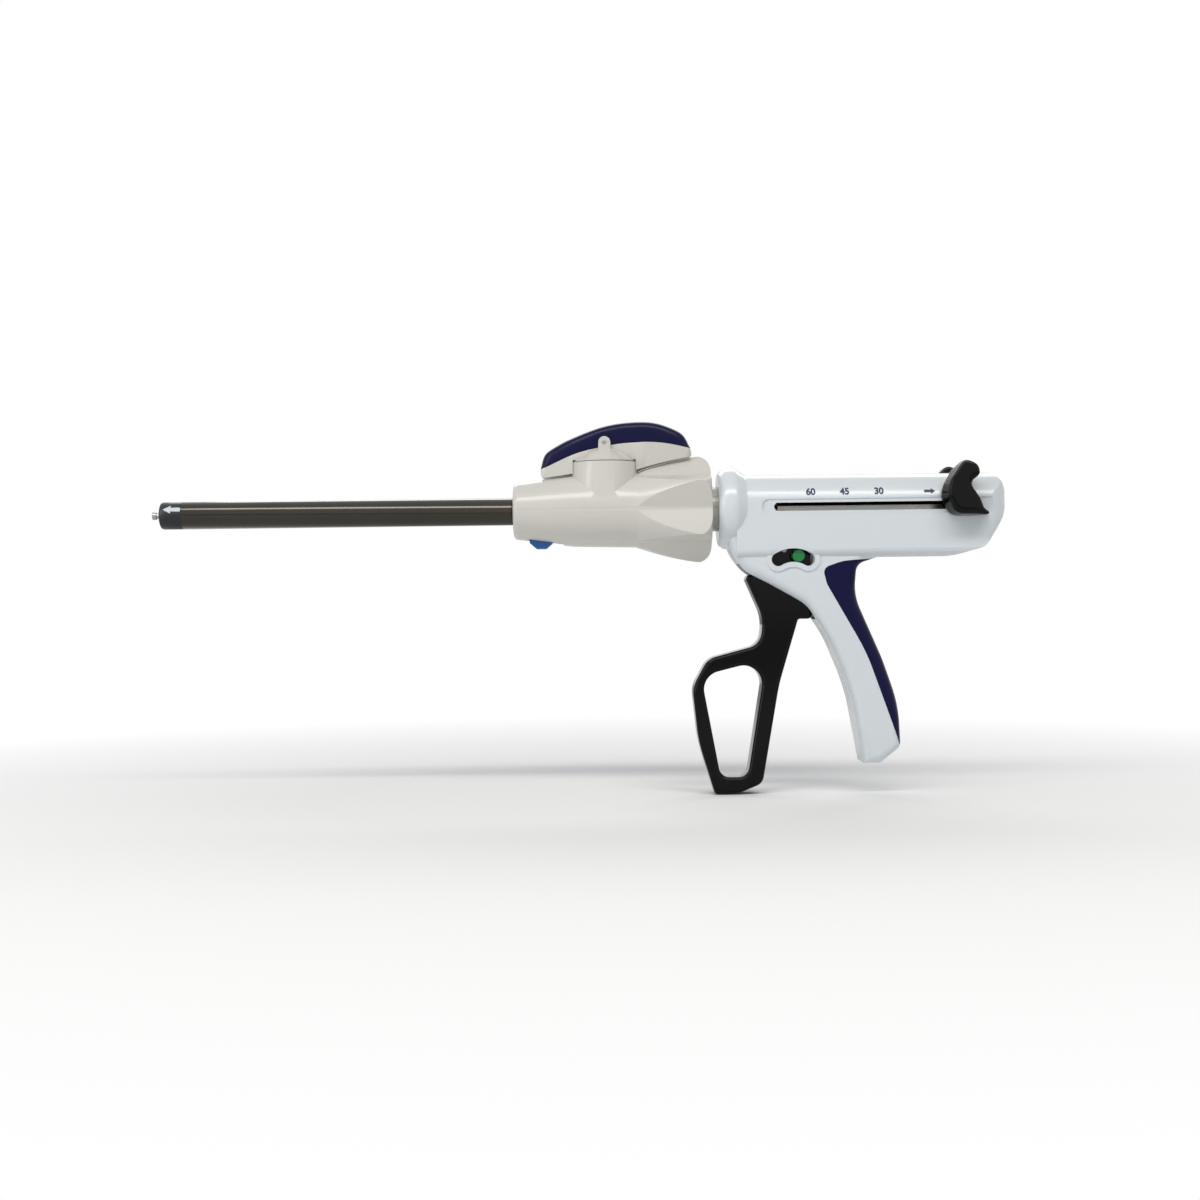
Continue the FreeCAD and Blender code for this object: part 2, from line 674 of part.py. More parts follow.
for number, outward in ((0, -slot_side), (-1, slot_side)):
    place, tangent = spiral_ends[number]
    cam_slot_curves.append(Part.Arc(spiral_edges[1][number], place + tangent * outward,
                                    spiral_edges[-1][number]))
cam_slot = body("cam_slot")
cam_slot_outline = sketch(cam_slot, "XY_Plane", "cam_slot_outline", cam_slot_curves)
pad(cam_slot, cam_slot_outline, "size.cam_thickness + 2", centred=False)
bind(cam_slot, x="size.turret_place", z="size.cam_height - 1")
node("articulation_cam", cut("articulation_cam", cam_disc, cam_square, cam_slot))

# Housing outside: a barrel rounded on top, a flared nose, and a chin that becomes the grip
pivot = (size.pivot_back, -size.pivot_drop)
barrel_start = "size.housing_front + 4.5"
barrel_length = "size.housing_rear - size.housing_front"


def barrel_section(name, radius, drop, corner, length, start):
    """The barrel's cross-section run along X: round above, flat sides, rounded below."""
    owner = body(name)
    curves = [Part.Arc(Vector(-radius, 0, 0), Vector(0, radius, 0), Vector(radius, 0, 0))]
    low = -drop + corner
    bend = corner * (1 - math.sqrt(0.5))
    for side in (1, -1):
        curves.append(Part.LineSegment(Vector(side * radius, 0, 0), Vector(side * radius, low, 0)))
        curves.append(Part.Arc(
            Vector(side * radius, low, 0), Vector(side * (radius - bend), -drop + bend, 0),
            Vector(side * (radius - corner), -drop, 0)
        ))
    curves.append(Part.LineSegment(Vector(corner - radius, -drop, 0),
                                   Vector(radius - corner, -drop, 0)))
    pad(owner, sketch(owner, "YZ_Plane", name + "_outline", curves), length, centred=False)
    bind(owner, x=start)
    return owner


barrel_corners = [
    (4.5 - size.housing_rear + size.housing_front, 20, 0), (-11.0, 20, 0),
    (-9.0, 14.75, 0), (-4.6, 14.75, 7), (0.9, 4.5, 10), (-1.0, -4.5, 14), (-10.3, -18.2, 6),
    (-23.8, -21.9, 20), (-30, -24, 0), (4.5 - size.housing_rear + size.housing_front, -24, 0),
]
barrel_plan_corners = [
    (0.1, -8.0, 7), (-7.0, -size.barrel_radius - 0.6, 14), (-25, -size.barrel_radius - 0.6, 0),
    (-30, -20, 0), (-130, -20, 0), (-130, 20, 0), (-30, 20, 0),
    (-25, size.barrel_radius + 0.6, 0), (-7.0, size.barrel_radius + 0.6, 14), (0.1, 8.0, 7),
]
barrel_plan = body("barrel_plan")
pad(barrel_plan, sketch(barrel_plan, "XY_Plane", "barrel_plan_outline",
                        rounded(barrel_plan_corners, (size.housing_rear, 0))), "80")
barrel_form = common(
    "barrel_form",
    barrel_plan,
    barrel_section("barrel_outside", size.barrel_radius, size.barrel_drop, 3.3,
                   barrel_length, barrel_start),
    slab("barrel_side", rounded(barrel_corners, (size.housing_rear, 0)), "60"),
)
flare = body("flare")
nose_front = "size.housing_front - size.nose_reach"
revolve(flare, profile(flare, "XZ_Plane", "flare_section", [
    (nose_front, "0"),
    (nose_front, "size.barrel_radius + 0.6"),
    (nose_front + " + 0.6", "size.barrel_radius + 1.6"),
    ("size.housing_front - 0.4", "size.barrel_radius + 2.9"),
    ("size.housing_front + 2", "size.barrel_radius + 3.3"),
    ("size.housing_front + 4.2", "size.barrel_radius + 3.3"),
    ("size.housing_front + 5.4", "size.barrel_radius + 2.8"),
    ("size.housing_front + 9.4", "size.barrel_radius"),
    ("size.housing_front + 11", "size.barrel_radius - 0.4"),
    ("size.housing_front + 11", "0"),
]))
grip_corners = [
    (-28.8, 29.3, 0), (-27.8, 15.0, 20), (-20.5, 5.5, 16), (-9.6, -0.1, 30),
    (5.9, -9.0, 16), (15.2, -23.7, 60), (24.2, -45.7, 100), (30.0, -78.3, 0), (37.0, -78.3, 0),
    (46.0, -71.2, 4.5), (45.2, -52.7, 60), (38.4, -32.7, 60), (26.6, -5.2, 25),
    (27.9, 8.3, 5), (43.4, 13.3, 0), (43.4, 29.3, 0),
]
grip_form = slab("grip_form", rounded(grip_corners, pivot), "size.grip_width")
soften(grip_form, "grip_rounding", "size.grip_rounding", highest=-size.pivot_drop + size.grip_shoulder)
window_lip = slab("window_lip", arc_slot(pivot, size.window_radius, size.window_half_height + 2.2,
                                         size.window_half_angle), "size.grip_width + 1.2")
housing_outside = fuse("housing_outside", barrel_form, flare, grip_form, window_lip)

# Housing inside: the barrel's room with guide ribs, the trigger's slot and the fits
room_start = size.housing_front + 8.8
inner_drop = size.barrel_drop - size.housing_wall
inner_radius = size.barrel_radius - size.housing_wall
room_corners = [
    (room_start, inner_radius + 1, 0), (size.housing_rear - 9.5, inner_radius + 1, 4),
    (size.housing_rear - size.rear_wall, 0, 0),
    (size.housing_rear - size.rear_foot, -inner_drop - 1, 4),
    (room_start, -inner_drop - 1, 0),
]
room = common(
    "room",
    barrel_section("room_section", inner_radius, inner_drop, 2.5, barrel_length,
                   "size.housing_front + 8.8"),
    slab("room_side", rounded(room_corners), "60"),
)
guide_ribs = []
for i, place in enumerate((40, 72)):
    guide_ribs.append(box("upper_rib_%d" % i, "2", "60", "30", y="-30",
                          x="size.housing_front + %d" % place,
                          z="size.rack_top + size.free_gap"))
for i, place in enumerate((54, 66, 88, 104)):
    guide_ribs.append(box("lower_rib_%d" % i, "2", "60", "30", y="-30",
                          x="size.housing_front + %d" % place,
                          z="-size.rack_drop - size.free_gap - 30"))
ribbed_room = cut("ribbed_room", room, *guide_ribs)
spigot_seat = cylinder("spigot_seat", ALONG_X, "size.spigot_radius + size.free_gap", "20",
                       x="size.housing_front - 5")
flange_groove = cylinder(
    "flange_groove", ALONG_X, "size.spigot_flange_radius + size.free_gap",
    "%s + size.free_gap" % flange_length, x=groove_front
)
pin_rest = "size.slot_front + size.slot_half_height + size.free_gap + size.stroke"
slot_length = "size.stroke + 2 * size.free_gap"
slot_rest = "size.slot_front + size.slot_half_height"
slot_bar = box("slot_bar", slot_length, "80", "2 * size.slot_half_height", x=slot_rest, y="-40",
               z="-size.slot_half_height")
slot_front_round = cylinder("slot_front_round", ALONG_Y, "size.slot_half_height", "80",
                            x=slot_rest, y="-40")
slot_rear_round = cylinder("slot_rear_round", ALONG_Y, "size.slot_half_height", "80",
                           x="%s + %s" % (slot_rest, slot_length), y="-40")
recesses = []
recess_start = "size.slot_front - 5.4 + size.recess_half_height"
for side, place in (("left", "-size.barrel_radius + size.recess_depth - 10"),
                    ("right", "size.barrel_radius - size.recess_depth")):
    recesses.append(box(side + "_recess", "200", "10", "2 * size.recess_half_height",
                        x=recess_start, y=place, z="-size.recess_half_height"))
    recesses.append(cylinder(side + "_recess_end", ALONG_Y, "size.recess_half_height", "10",
                             x=recess_start, y=place))
window = slab("window", arc_slot(pivot, size.window_radius, size.window_half_height,
                                 size.window_half_angle), "80")
trigger_room = cylinder("trigger_room", ALONG_Y, "18.5", "size.trigger_slot",
                        x="size.pivot_back", y="-size.trigger_slot / 2", z="-size.pivot_drop")
beak_room = box("beak_room", "24", "size.trigger_slot", "26", x="size.pivot_back - 23.2",
                y="-size.trigger_slot / 2", z="-size.pivot_drop - 12")
pivot_hole_length = "size.grip_width - 3"
pivot_hole = cylinder("pivot_hole", ALONG_Y, "size.pivot_radius + size.seat_gap",
                      pivot_hole_length, x="size.pivot_back",
                      y="-(%s) / 2" % pivot_hole_length, z="-size.pivot_drop")
rear_pin = round(size.housing_rear - size.pivot_back - size.rear_pin_room, 6)
pin_places = [(36.4, -66.7), (23.4, -34.7), (rear_pin, size.pivot_drop)]
pins = []
pin_holes = []
for i, (along, up) in enumerate(pin_places):
    x = "size.pivot_back + %s" % along
    z = "-size.pivot_drop + %s" % up
    pins.append(cylinder("locating_pin_%d" % i, ALONG_Y, "1.5", "12", x=x, y="-6", z=z))
    pin_holes.append(cylinder("locating_hole_%d" % i, ALONG_Y, "1.5 + size.seat_gap",
                              "12 + 4 * size.seat_gap", x=x, y="-6 - 2 * size.seat_gap", z=z))
node("alignment_pins", fuse("alignment_pins", *pins))
strap_corners = [
    (36.0, 10.7, 0), (21.4, 9.7, 20), (12.8, 6.7, 3), (14.4, -0.2, 10), (31.2, -29.9, 90),
    (45.7, -71.2, 0), (56.4, -71.2, 0), (56.4, 10.7, 0),
]
strap_region = slab("strap_region", rounded(strap_corners, pivot), "60")
strap_form = common("strap_form", grip_form, strap_region)
node("grip_backstrap", cut("grip_backstrap", strap_form, trigger_room))
housing_shape = cut(
    "housing_shape", housing_outside, ribbed_room, spigot_seat, flange_groove, slot_bar,
    slot_front_round, slot_rear_round, *recesses, window, trigger_room, beak_room, pivot_hole,
    *pin_holes, strap_region
)
halves(housing_shape, "y", "left_housing", "right_housing")

# Trigger: a blade with a closed finger loop, and an arm inside the housing
blade_corners = [
    (-20.6, 3.5, 1.7), (-8.1, 7.3, 5), (6.9, 0.3, 7), (8.9, -15.3, 2), (2.6, -15.3, 1.2),
    (-6.0, -43.7, 80), (-13.7, -86.9, 5), (-24.6, -91.3, 12), (-34.6, -91.5, 1.8),
    (-41.6, -68.2, 60), (-44.0, -44.7, 14), (-37.1, -32.2, 9), (-14.1, -26.2, 7),
    (-12.8, -14.7, 18),
]
loop_corners = [(-40.0, -39.7, 8), (-11.7, -32.7, 8), (-20.2, -84.0, 4.5), (-32.0, -83.9, 4.5)]
trigger_form = body("trigger_form")
pad(trigger_form, sketch(trigger_form, "XZ_Plane", "blade_outline",
                         rounded(blade_corners, pivot)), "size.trigger_width")
pocket(trigger_form, sketch(trigger_form, "XZ_Plane", "loop_outline",
                            rounded(loop_corners, pivot)))
soften(trigger_form, "blade_rounding", "1.6")
arm_corners = [
    (-7.5, -2.0, 4), (-9.4, 17.8, 3.0), (-1.0, 18.2, 4), (8.4, 15.4, 4.5), (8.0, -3.0, 5),
    (0, -7.5, 5),
]
arm_form = slab("arm_form", rounded(arm_corners, pivot), "size.arm_width")
safety_turn = math.radians(size.safety_angle)
safety_place = (
    size.pivot_back + size.window_radius * math.sin(safety_turn),
    -size.pivot_drop + size.window_radius * math.cos(safety_turn),
)
pawl_place = (size.pivot_back - size.pawl_lead, -size.pivot_drop + size.pawl_rise)
trigger_bore = cylinder("trigger_bore", ALONG_Y, "size.pivot_radius + size.running_gap", "60",
                        x="size.pivot_back", y="-30", z="-size.pivot_drop")
safety_bore = cylinder("safety_bore", ALONG_Y, "size.safety_radius + size.running_gap", "60",
                       x=str(safety_place[0]), y="-30", z=str(safety_place[1]))
pawl_slot = box("pawl_slot", "12", "size.pawl_width + 2 * size.free_gap", "12",
                x="%s - 8.4" % pawl_place[0], y="-size.pawl_width / 2 - size.free_gap",
                z="%s - 5.2" % pawl_place[1])
pawl_pin_hole = cylinder("pawl_pin_hole", ALONG_Y, "1.2 + size.seat_gap", "60",
                         x=str(pawl_place[0]), y="-30", z=str(pawl_place[1]))
spring_pocket = cylinder("spring_pocket", ALONG_Y, "4.6", "2.8", x="size.pivot_back",
                         y="-size.trigger_width / 2 - 0.2", z="-size.pivot_drop")
trigger_solid = fuse("trigger_solid", trigger_form, arm_form)
node("trigger", cut("trigger", trigger_solid, trigger_bore, safety_bore, pawl_slot,
                    pawl_pin_hole, spring_pocket))
pivot_pin_length = "size.grip_width - 3 - 4 * size.seat_gap"
node("trigger_pivot_pin", cylinder(
    "trigger_pivot_pin", ALONG_Y, "size.pivot_radius", pivot_pin_length,
    x="size.pivot_back", y="-(%s) / 2" % pivot_pin_length, z="-size.pivot_drop"
))
node("pawl_pin", cylinder("pawl_pin", ALONG_Y, "1.2", "size.arm_width - 0.2",
                          x=str(pawl_place[0]), y="-size.arm_width / 2 + 0.1",
                          z=str(pawl_place[1])))

# Safety button: a round bar through the arm that shows in both windows
node("safety_button", cylinder(
    "safety_button", ALONG_Y, "size.safety_radius", "size.safety_length",
    x=str(safety_place[0]), y="-size.safety_length / 2", z=str(safety_place[1])
))

# Return spring: a torsion coil in a round pocket of the trigger, about the pivot pin
node("trigger_return_spring", coil("trigger_return_spring", 3.9, 0.4, 2.4, 2, Placement(
    Vector(pivot[0], -size.trigger_width / 2, pivot[1]), ALONG_Y)))

# Pawl spring: a small coil under the pawl's heel
node("pawl_spring", coil("pawl_spring", 0.9, 0.2, 3.2, 4, Placement(
    Vector(pawl_place[0] + 1.3, 0, pawl_place[1] - 5.1), UPRIGHT)))

# Firing pawl: a hooked finger on the arm, just under the rack's teeth
pawl_rise = -size.rack_drop - size.free_gap - pawl_place[1]
pawl_corners = [
    (2.6, -1.6, 2), (2.5, 3.2, 2), (-1.4, pawl_rise - 2.2, 3), (-3.0, pawl_rise, 0.4),
    (-5.6, pawl_rise - 3.2, 1), (-2.8, 1.0, 3), (-2.6, -2.6, 2),
]
pawl_form = slab("pawl_form", rounded(pawl_corners, pawl_place), "size.pawl_width")
pawl_bore = cylinder("pawl_bore", ALONG_Y, "1.2 + size.running_gap", "60",
                     x=str(pawl_place[0]), y="-30", z=str(pawl_place[1]))
node("firing_pawl", cut("firing_pawl", pawl_form, pawl_bore))

# Rack: a bar with a row of slanted tooth gaps along its underside
rack_rear = "%s + size.rack_tail" % pin_rest
rack_form = body("rack_form")
pad(rack_form, profile(rack_form, "XZ_Plane", "rack_side", [
    ("size.rack_front", "size.rack_top - 1"),
    ("size.rack_front + 1", "size.rack_top"),
    (rack_rear, "size.rack_top"),
    (rack_rear, "-size.rack_drop"),
    ("size.rack_front + 1", "-size.rack_drop"),
    ("size.rack_front", "-size.rack_drop + 1"),
]), "size.rack_width")
tooth_start = "size.rack_front + 2"
tooth_gap = pocket(rack_form, profile(rack_form, "XZ_Plane", "tooth_gap", [
    (tooth_start, "-size.rack_drop - 1"),
    (tooth_start, "-size.rack_drop + size.tooth_depth"),
    (tooth_start + " + size.tooth_pitch - 1", "-size.rack_drop"),
    (tooth_start + " + size.tooth_pitch - 1", "-size.rack_drop - 1"),
]))
document.recompute()
teeth = rack_form.newObject("PartDesign::LinearPattern", "teeth")
teeth.Originals = [tooth_gap]
teeth.Direction = (origin_of(rack_form, "X_Axis"), [""])
teeth.Mode = "Spacing"
bind(teeth, Offset="size.tooth_pitch",
     Occurrences="floor((%s - size.rack_front - 8) / size.tooth_pitch)" % rack_rear)
rack_form.Tip = teeth
rod_socket = cylinder("rod_socket", ALONG_X, "size.rod_radius + size.seat_gap",
                      "8 + size.free_gap", x="size.rack_front")
rack_pin_hole = cylinder("rack_pin_hole", ALONG_Y, "size.pin_radius + size.seat_gap", "40",
                         x=pin_rest, y="-20")
rack_groove = box("rack_groove", "size.stroke + 30", "10", "size.rack_top - 2.2",
                  x="size.rack_front - 1", z="0.9",
                  y="-size.rack_width / 2 + size.rack_groove_depth - 10")
node("actuation_rack", cut("actuation_rack", rack_form, rod_socket, rack_pin_hole, rack_groove))
plate_side = "size.rack_width / 2 + size.seat_gap"
plate_bar = box("plate_bar", "%s - size.rack_front - 20" % rack_rear, "size.plate_thickness",
                "6", x="size.rack_front + 20", y=plate_side, z="-3")
node("release_plate", cut("release_plate", plate_bar, rack_pin_hole))
node("retraction_pin", cylinder("retraction_pin", ALONG_Y, "size.pin_radius",
                                "2 * size.barrel_radius + 9", x=pin_rest,
                                y="-size.barrel_radius - 4.5"))

# Return knobs: curved finger pulls on both ends of the pin, narrower outside than at the barrel
knob_base_corners = [
    (-6.6, 14.4, 1.0), (-1.0, 19.6, 3), (4.6, 17.2, 3.5), (5.4, 12.0, 1.5), (1.2, 8.6, 2.0),
    (5.6, 2.0, 3), (8.0, -2.2, 1.0), (11.4, -3.0, 0.7), (10.2, -4.6, 0.7), (3.0, -5.2, 5),
    (-6.8, -5.2, 5.0), (-11.4, 3.4, 8), (-9.6, 9.0, 8),
]
knob_face_corners = [
    (-4.0, 15.8, 1.5), (-1.8, 19.6, 2.5), (4.4, 16.6, 3.5), (5.2, 12.4, 1.5), (0.3, 9.2, 2.0),
    (4.9, 2.4, 3), (6.5, -2.6, 1.0), (9.3, -3.6, 0.7), (8.2, -5.2, 0.7), (3.0, -4.4, 5),
    (-5.6, -4.4, 4.5), (-8.6, 3.6, 8), (-7.2, 11.0, 8),
]
knob_form = body("knob_form")
knob_base = sketch(knob_form, "XZ_Plane", "knob_base", rounded(knob_base_corners))
knob_face = sketch(knob_form, "XZ_Plane", "knob_face", rounded(knob_face_corners))
knob_face.setExpression("AttachmentOffset.Base.z", "size.knob_thickness")
knob_loft = knob_form.newObject("PartDesign::AdditiveLoft", "knob_loft")
knob_loft.Profile = knob_base
knob_loft.Sections = [knob_face]
knob_loft.Ruled = True
bind(knob_form, x=pin_rest, y="-size.barrel_radius - size.free_gap - 0.1")
knob_boss = cylinder("knob_boss", ALONG_Y, "3", "4", x=pin_rest,
                     y="-size.barrel_radius + size.recess_depth - size.free_gap - 4")
knob_hole = cylinder("knob_hole", ALONG_Y, "size.pin_radius + size.seat_gap", "20", x=pin_rest,
                     y="-size.barrel_radius - 4.5 - 2 * size.seat_gap")
left_knob = cut("left_return_knob", fuse("knob_solid", knob_form, knob_boss), knob_hole)
node("left_return_knob", left_knob)
right_knob = document.addObject("Part::Mirroring", "right_return_knob")
right_knob.Source = left_knob
right_knob.Normal = Vector(0, 1, 0)
node("right_return_knob", right_knob)

document.recompute()
faults = [
    item.Label for item in document.Objects
    if "Invalid" in item.State or "Error" in item.State
]
for name, item in nodes.items():
    if item.Shape.isNull() or not item.Shape.isValid() or not item.Shape.Solids:
        faults.append(name)
if faults:
    raise RuntimeError("not built: " + ", ".join(faults))

os.makedirs("parts", exist_ok=True)
for name, item in nodes.items():
    item.Shape.exportStep("parts/%s.step" % name)
    print(name, len(item.Shape.Solids), round(item.Shape.Volume, 1))
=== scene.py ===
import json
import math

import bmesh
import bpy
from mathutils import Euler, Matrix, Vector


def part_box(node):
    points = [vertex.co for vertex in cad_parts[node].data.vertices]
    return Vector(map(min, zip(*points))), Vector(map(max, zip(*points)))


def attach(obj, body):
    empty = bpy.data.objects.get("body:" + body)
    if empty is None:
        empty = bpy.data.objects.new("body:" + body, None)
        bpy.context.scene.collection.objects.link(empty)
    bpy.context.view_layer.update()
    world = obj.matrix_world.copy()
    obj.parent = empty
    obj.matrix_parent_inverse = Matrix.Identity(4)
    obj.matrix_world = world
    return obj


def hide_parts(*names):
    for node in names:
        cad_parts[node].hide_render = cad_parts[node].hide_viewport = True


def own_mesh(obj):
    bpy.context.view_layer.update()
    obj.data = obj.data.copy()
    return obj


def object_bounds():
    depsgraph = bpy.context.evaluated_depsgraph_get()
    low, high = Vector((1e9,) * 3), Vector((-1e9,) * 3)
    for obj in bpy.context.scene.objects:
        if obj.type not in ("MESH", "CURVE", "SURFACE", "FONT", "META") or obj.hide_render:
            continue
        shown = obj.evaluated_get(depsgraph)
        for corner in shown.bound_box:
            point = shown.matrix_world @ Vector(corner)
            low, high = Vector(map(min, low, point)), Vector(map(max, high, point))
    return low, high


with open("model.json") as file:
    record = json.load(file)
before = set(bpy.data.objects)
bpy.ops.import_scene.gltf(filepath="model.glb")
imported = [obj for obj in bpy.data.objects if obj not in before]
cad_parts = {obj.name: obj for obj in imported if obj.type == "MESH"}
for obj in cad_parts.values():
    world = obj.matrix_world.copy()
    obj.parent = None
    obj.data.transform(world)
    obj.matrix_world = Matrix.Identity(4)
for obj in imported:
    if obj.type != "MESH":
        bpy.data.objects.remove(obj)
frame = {"nodes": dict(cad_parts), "record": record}
cad_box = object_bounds()

# %% [markdown]
# The object is a surgeon's stapler handle for keyhole surgery, without the staple cartridge
# that is pushed on at the tip. Its solid pieces come from the CAD frame at their real size,
# so this script adds what a moulder, a plater and a printer would add: finishes, soft edges,
# printed marks, and the light to see them by. Lengths are in metres, and a value in
# millimetres is multiplied by MM.

MM = 0.001
scene = bpy.context.scene
nodes = frame["nodes"]
lowest, highest = cad_box
print("CAD box in mm:", [round(v / MM, 1) for v in (*lowest, *highest)])

# %% [markdown]
# The camera comes first, because every later choice is judged through it. The photograph
# looks straight at the left side, near enough for the far finger pull to stand out a little
# behind the near one. A lens of about 51 mm at three quarters of a metre gives that much
# parallax. The picture is square, and the handle is turned by less than a degree in it.

# %% Camera
VIEW_DISTANCE = 750 * MM
VIEW_WIDTH = 528 * MM
AIM = Vector((37.8 * MM, 0, -39.3 * MM))
ROLL = math.radians(0.7)
SENSOR_WIDTH = 36
NEAREST_SEEN = 10 * MM

camera_data = bpy.data.cameras.new("camera")
camera_data.sensor_width = SENSOR_WIDTH
camera_data.lens = SENSOR_WIDTH * VIEW_DISTANCE / VIEW_WIDTH
camera_data.clip_start = NEAREST_SEEN
camera = bpy.data.objects.new("camera", camera_data)
camera.location = AIM - Vector((0, VIEW_DISTANCE, 0))
camera.rotation_euler = Euler((math.radians(90), 0, 0))
camera.rotation_euler.rotate(Matrix.Rotation(ROLL, 3, "Y"))
scene.collection.objects.link(camera)
scene.camera = camera
print("lens in mm:", round(camera_data.lens, 1))

# %% [markdown]
# Colours are written the way a paint chart gives them, as sRGB hex. A shader works in linear
# light, so one function turns hex to linear. One more small function adds a node to a
# material with its settings and its links: it is enough for every pattern below.

# %% Colour and node helpers


def linear(hex_colour):
    """An sRGB hex colour as linear RGBA."""
    channels = [int(hex_colour[i:i + 2], 16) / 255 for i in (1, 3, 5)]
    return [c / 12.92 if c <= 0.04045 else ((c + 0.055) / 1.055) ** 2.4 for c in channels] + [1]


def add(tree, kind, settings=(), links=()):
    """A new node. Settings name or number its inputs, or name its properties; links join them."""
    node = tree.nodes.new(kind)
    for name, value in dict(settings).items():
        if isinstance(name, int) or name in node.inputs.keys():
            node.inputs[name].default_value = value
        else:
            setattr(node, name, value)
    for name, output in dict(links).items():
        tree.links.new(output, node.inputs[name])
    return node


def first(tree, kind):
    """The first node of a kind that a tree already has."""
    return next(node for node in tree.nodes if node.type == kind)


def new_material(name, shader_settings):
    """A material with one Principled shader, and the object's own coordinates."""
    material = bpy.data.materials.new(name)
    material.use_nodes = True
    tree = material.node_tree
    tree.nodes.clear()
    shader = add(tree, "ShaderNodeBsdfPrincipled", shader_settings)
    add(tree, "ShaderNodeOutputMaterial", links={"Surface": shader.outputs[0]})
    place = add(tree, "ShaderNodeTexCoord").outputs["Object"]
    return material, tree, shader, place


def per_metre(pattern_mm):
    """The scale of a texture whose features are this many millimetres apart."""
    return 1 / (pattern_mm * MM)


print("mid grey is linear", round(linear("#808080")[0], 3))

# %% [markdown]
# Most of the object is ABS, injection moulded in polished steel tools. Such a skin is
# glossy but never optically flat: the plastic shrinks a little over thick places, which
# bends reflections every few centimetres, and years of polishing leave a very faint orange
# peel in the tool. Both go into the bump. The colour drifts by a few percent, as pigment
# does in a moulding, and handling leaves the gloss slightly uneven. One function makes the
# family, because the pieces differ only in pigment and polish. The navy and the black get a
# lower specular level than ABS has, so that the white room doesn't wash them out.

# %% Moulded ABS
ABS_IOR = 1.53
SHRINK_PITCH = 28
SHRINK_DEPTH = 1.5 * MM
PEEL_PITCH = 0.9
PEEL_DEPTH = 0.1 * MM
PEEL_STRENGTH = 0.01
HANDLING_PITCH = 12
HANDLING_SPREAD = 0.15


def moulded_abs(name, hex_colour, polish, drift=0.01, shrink=0.004, more=()):
    """Glossy moulding in one pigment; polish is its roughness, and more are shader settings."""
    material, tree, shader, place = new_material(name, {"IOR": ABS_IOR, **dict(more)})
    pigment = add(tree, "ShaderNodeTexNoise", {"Scale": per_metre(SHRINK_PITCH), "Detail": 1},
                  {"Vector": place})
    colour = linear(hex_colour)
    darker = [c * (1 - drift) for c in colour[:3]] + [1]
    lighter = [min(1, c * (1 + drift)) for c in colour[:3]] + [1]
    tint = add(tree, "ShaderNodeMix", {"data_type": "RGBA", 6: darker, 7: lighter},
               {0: pigment.outputs[0]})
    tree.links.new(tint.outputs[2], shader.inputs["Base Color"])
    handling = add(tree, "ShaderNodeTexNoise",
                   {"Scale": per_metre(HANDLING_PITCH), "Detail": 2}, {"Vector": place})
    gloss = add(tree, "ShaderNodeMapRange", {"To Min": polish * (1 - HANDLING_SPREAD),
                                             "To Max": polish * (1 + HANDLING_SPREAD)},
                {"Value": handling.outputs[0]})
    tree.links.new(gloss.outputs[0], shader.inputs["Roughness"])
    peel = add(tree, "ShaderNodeTexNoise", {"Scale": per_metre(PEEL_PITCH), "Detail": 2},
               {"Vector": place})
    fine = add(tree, "ShaderNodeBump", {"Strength": PEEL_STRENGTH, "Distance": PEEL_DEPTH},
               {"Height": peel.outputs[0]})
    broad = add(tree, "ShaderNodeBump", {"Strength": shrink, "Distance": SHRINK_DEPTH},
                {"Height": pigment.outputs[0], "Normal": fine.outputs[0]})
    tree.links.new(broad.outputs[0], shader.inputs["Normal"])
    return material


white_abs = moulded_abs("white_gloss_abs", "#D8DFE4", 0.2)
warm_grey_abs = moulded_abs("warm_grey_gloss_abs", "#CFCDC6", 0.24)
navy_abs = moulded_abs("navy_satin_abs", "#090838", 0.26, drift=0.06,
                       more={"Specular IOR Level": 0.15})
black_abs = moulded_abs("black_gloss_abs", "#030304", 0.12, drift=0.1,
                        more={"Specular IOR Level": 0.16})
print("moulded plastics:", white_abs.name, warm_grey_abs.name, navy_abs.name, black_abs.name)

# %% [markdown]
# The buttons are acetal, a waxy engineering plastic that slides well against ABS. It takes
# strong pigments, scatters light just under its skin and is never as glossy as ABS, so a
# little subsurface scattering rounds its shading. The inner half-rounds of the shaft and the
# load ring are of the same family in grey and black.

# %% Moulded acetal
ACETAL_IOR = 1.48
ACETAL_DRIFT = 0.05
SCATTER_DEPTH = 0.6 * MM


def moulded_acetal(name, hex_colour, polish, scatter=0.15):
    """Waxy moulding; scatter is the share of the light that goes under its skin."""
    return moulded_abs(name, hex_colour, polish, drift=ACETAL_DRIFT, more={
        "IOR": ACETAL_IOR, "Subsurface Weight": scatter, "Subsurface Scale": SCATTER_DEPTH})


green_acetal = moulded_acetal("green_acetal", "#0E7A3C", 0.35)
blue_acetal = moulded_acetal("blue_acetal", "#1A5AA0", 0.3)
black_acetal = moulded_acetal("black_acetal", "#10131C", 0.3, scatter=0)
grey_acetal = moulded_acetal("grey_acetal", "#8C8D8E", 0.42)
print("acetals:", green_acetal.name, blue_acetal.name, black_acetal.name, grey_acetal.name)

# %% [markdown]
# The shaft is a stainless tube with a dark ceramic coating, put on in a vacuum so that the
# surgeon isn't dazzled under the scope's lamp. The tube was centreless ground before that,
# which leaves hair-fine rings round it, and the coating takes them over: highlights smear
# a little along the tube. The rings are too fine to see at 0.02 mm, so they are drawn 0.25 mm
# apart. A metal keeps the shader's default index of refraction, and its colour is the
# colour of its reflection. The coating has an index of its own, on the coat's socket.

